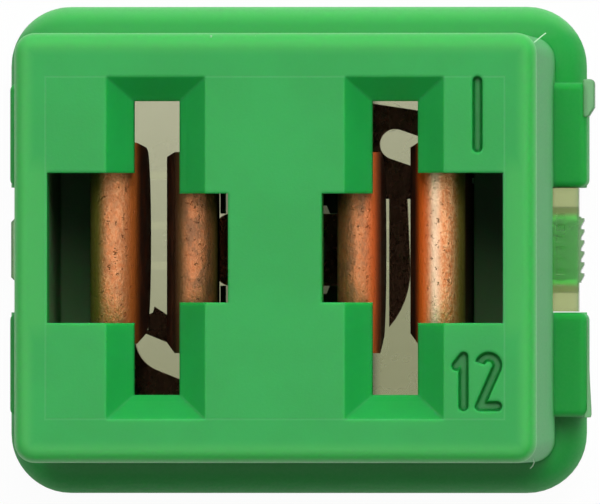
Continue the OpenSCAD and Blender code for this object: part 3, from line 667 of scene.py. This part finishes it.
# Stub of the gate on a lug; lengths in mm

gateStub = {
    "low": (7.16, 3.31),                  # corners of its outline
    "high": (7.455, 4.26),
    "levels": (3.3, 4.22),
    "corner": 0.12,                       # radius of the outer corner towards +Y
    "cornerSteps": 4,
    "slant": (0.15, 0.24),                # cut of the outer corner towards -Y
    "rim": 0.05,
}


def gateOutline(c=gateStub):
    (x0, y0), (x1, y1), r, steps = c["low"], c["high"], c["corner"], c["cornerSteps"]
    turns = [math.radians(90 * i / steps) for i in range(steps + 1)]
    corner = [(x1 - r + r * math.cos(a), y1 - r + r * math.sin(a)) for a in turns]
    return [(x0, y0), (x1 - c["slant"][0], y0), (x1, y0 + c["slant"][1]), *corner, (x0, y1)]


# Thin flash on the lug below it; lengths in mm

lugFlash = {
    "inner": 7.2,                         # it is rooted in the lug from here
    "outline": ((7.275, -1.72), (7.30, -2.4), (7.335, -3.3), (7.37, -3.95), (7.375, -4.12),
                (7.35, -4.19)),
    "levels": (3.95, 4.08),
    "rim": 0.02,
}


def flashOutline(c=lugFlash):
    first, last = c["outline"][0], c["outline"][-1]
    return [(c["inner"], first[1]), *c["outline"], (c["inner"], last[1])]


palePlasticFinish = makePalePlastic()
addFlecks()
addPrism("gateStub", gateOutline(), gateStub["levels"], palePlasticFinish, gateStub["rim"])
addPrism("lugFlash", flashOutline(), lugFlash["levels"], palePlasticFinish, lugFlash["rim"])
print("remnants of moulding added")


# Softened edges of the element; those of the plastic are rounded in its finish

elementRims = {
    "weld": 0.0005,                     # corners nearer than this are joined, mm
    "flatWithin": 0.3,                  # faces that turn by less are joined, degrees
    "width": 0.03,                      # mm
    "segments": 2,
    "sharpFrom": 35,                    # turn from which an edge is softened, degrees
}


def softenEdges(piece, c=elementRims):
    weld = piece.modifiers.new("weld", "WELD")
    weld.merge_threshold = c["weld"] * mm
    flat = piece.modifiers.new("flatFaces", "DECIMATE")
    flat.decimate_type = "DISSOLVE"
    flat.angle_limit = math.radians(c["flatWithin"])
    piece.modifiers.new("triangles", "TRIANGULATE")
    rim = piece.modifiers.new("rims", "BEVEL")
    rim.width = c["width"] * mm
    rim.segments = c["segments"]
    rim.limit_method = "ANGLE"
    rim.angle_limit = math.radians(c["sharpFrom"])
    rim.harden_normals = True
    rim.use_clamp_overlap = True
    rim.miter_outer = "MITER_ARC"


softenEdges(nodes["fuse_element"])
print("edges softened")


# Camera, light and floor

cameraPlace = {
    "target": (0.611, -0.0995, 19.0),   # mm, on the socket face
    "distance": 520,                    # mm
    "azimuth": 1.999,                   # lean towards +X, degrees
    "elevation": 0.163,                 # lean towards -Y, degrees
    "lens": 1284.7,
    "sensor": 36,
    "clip": (50, 3000),                 # mm
}


def makeCamera(c=cameraPlace):
    data = bpy.data.cameras.new("camera")
    camera = addObject("camera", data)
    azimuth = math.radians(c["azimuth"])
    elevation = math.radians(c["elevation"])
    back = Vector((math.sin(azimuth) * math.cos(elevation), -math.sin(elevation),
                   math.cos(azimuth) * math.cos(elevation)))
    right = Vector((0, 1, 0)).cross(back).normalized()
    up = back.cross(right)
    place = Matrix.Translation((Vector(c["target"]) + back * c["distance"]) * mm)
    camera.matrix_world = place @ Matrix((right, up, back)).transposed().to_4x4()
    data.lens = c["lens"]
    data.sensor_width = c["sensor"]
    data.clip_start = c["clip"][0] * mm
    data.clip_end = c["clip"][1] * mm
    bpy.context.scene.camera = camera


def raysThatSee(tree):
    # rays from the camera, straight or by way of a mirror or clear plastic
    path = addNode(tree, "LightPath").outputs
    seen = calc(tree, "MAXIMUM", path["Is Camera Ray"], path["Is Glossy Ray"])
    return path, calc(tree, "MAXIMUM", seen, path["Is Transmission Ray"])


floorSheet = {
    "half": 1200,                       # mm
    "drop": 0.01,                       # gap below the part, mm
    "view": (0.9, 0.9, 0.9),
    "paper": (0.96, 0.96, 0.96, 1),
    "glow": 1.0,
    "glowShare": 0.965,                 # the rest is lit paper, which takes the shadow
    "mirroredLess": 0.45,               # how much less of it reflections see
}


def makeFloor(c=floorSheet):
    mesh = bpy.data.meshes.new("floor")
    half = c["half"] * mm
    mesh.from_pydata([(-half, -half, 0), (half, -half, 0), (half, half, 0), (-half, half, 0)],
                     [], [(0, 1, 2, 3)])
    floor = addObject("floor", mesh)
    floor.location.z = cadLow.z - c["drop"] * mm
    material, tree = newMaterial("floorWhite", c["view"])
    path, seen = raysThatSee(tree)
    paper = addNode(tree, "BsdfDiffuse", {"Color": c["paper"]}).outputs[0]
    glow = addNode(tree, "Emission", {"Color": (1, 1, 1, 1), "Strength": c["glow"]}).outputs[0]
    share = calc(tree, "MULTIPLY", seen, c["glowShare"])
    mirrored = calc(tree, "SUBTRACT", path["Is Glossy Ray"], path["Is Transmission Ray"], clamp=True)
    less = calc(tree, "MULTIPLY", mirrored, c["mirroredLess"])
    share = calc(tree, "SUBTRACT", share, less)
    lit = addNode(tree, "MixShader", {0: share, 1: paper, 2: glow}).outputs[0]
    clear = addNode(tree, "BsdfTransparent").outputs[0]
    under = addNode(tree, "NewGeometry").outputs["Backfacing"]
    finishMaterial(tree, addNode(tree, "MixShader", {0: under, 1: lit, 2: clear}).outputs[0])
    mesh.materials.append(material)


# reflections see a sky that is bright overhead and dims towards the horizon
sky = {
    "middle": (-0.1, 0.33, 0.92),       # direction of its brightest place
    "heights": (0.1, 0.85),             # cosines of the angle from there, over which it dims
    "shine": (0.05, 1.25),
    "ambient": 0.2,                     # strength for all light that isn't seen
    "seen": 1.0,
}


def makeWorld(c=sky):
    world = bpy.data.worlds.new("studio")
    world.use_nodes = True
    tree = world.node_tree
    tree.nodes.clear()
    path, seen = raysThatSee(tree)
    way = addNode(tree, "TexCoord").outputs["Generated"]
    middle = tuple(Vector(c["middle"]).normalized())
    height = addNode(tree, "VectorMath", {0: way, 1: middle}, operation="DOT_PRODUCT")
    shine = remap(tree, height.outputs["Value"], *c["heights"], *c["shine"])
    plain = remap(tree, seen, 0, 1, c["ambient"], c["seen"], smooth=False)
    strength = calc(tree, "ADD", calc(tree, "MULTIPLY", path["Is Glossy Ray"], shine),
                    calc(tree, "MULTIPLY", calc(tree, "SUBTRACT", 1, path["Is Glossy Ray"]), plain))
    light = addNode(tree, "Background", {"Color": (1, 1, 1, 1), "Strength": strength})
    addNode(tree, "OutputWorld", {"Surface": light.outputs[0]})
    bpy.context.scene.world = world


# distance and size in mm; share is that of full light at the object
softboxes = {
    "key": {"from": (0.12, 0.41, 0.9), "distance": 400, "size": 240, "share": 0.85},
    "side": {"from": (0.35, 1.0, 0.15), "distance": 400, "size": 160, "share": 0.33},
}


def makeSoftbox(name, c):
    data = bpy.data.lights.new(name, "AREA")
    data.shape = "DISK"
    data.size = c["size"] * mm
    data.energy = c["share"] * (math.pi * c["distance"] * mm) ** 2
    lamp = addObject(name, data)
    direction = Vector(c["from"]).normalized()
    lamp.location = Vector((0, 0, faceZ)) + direction * c["distance"] * mm
    lamp.rotation_mode = "QUATERNION"
    lamp.rotation_quaternion = direction.to_track_quat("Z", "Y")
    lamp.visible_camera = False
    lamp.visible_glossy = False


makeCamera()
makeFloor()
makeWorld()
for name, settings in softboxes.items():
    makeSoftbox(name, settings)
bpy.context.scene.view_settings.view_transform = "Standard"
print("camera, floor and light ready")
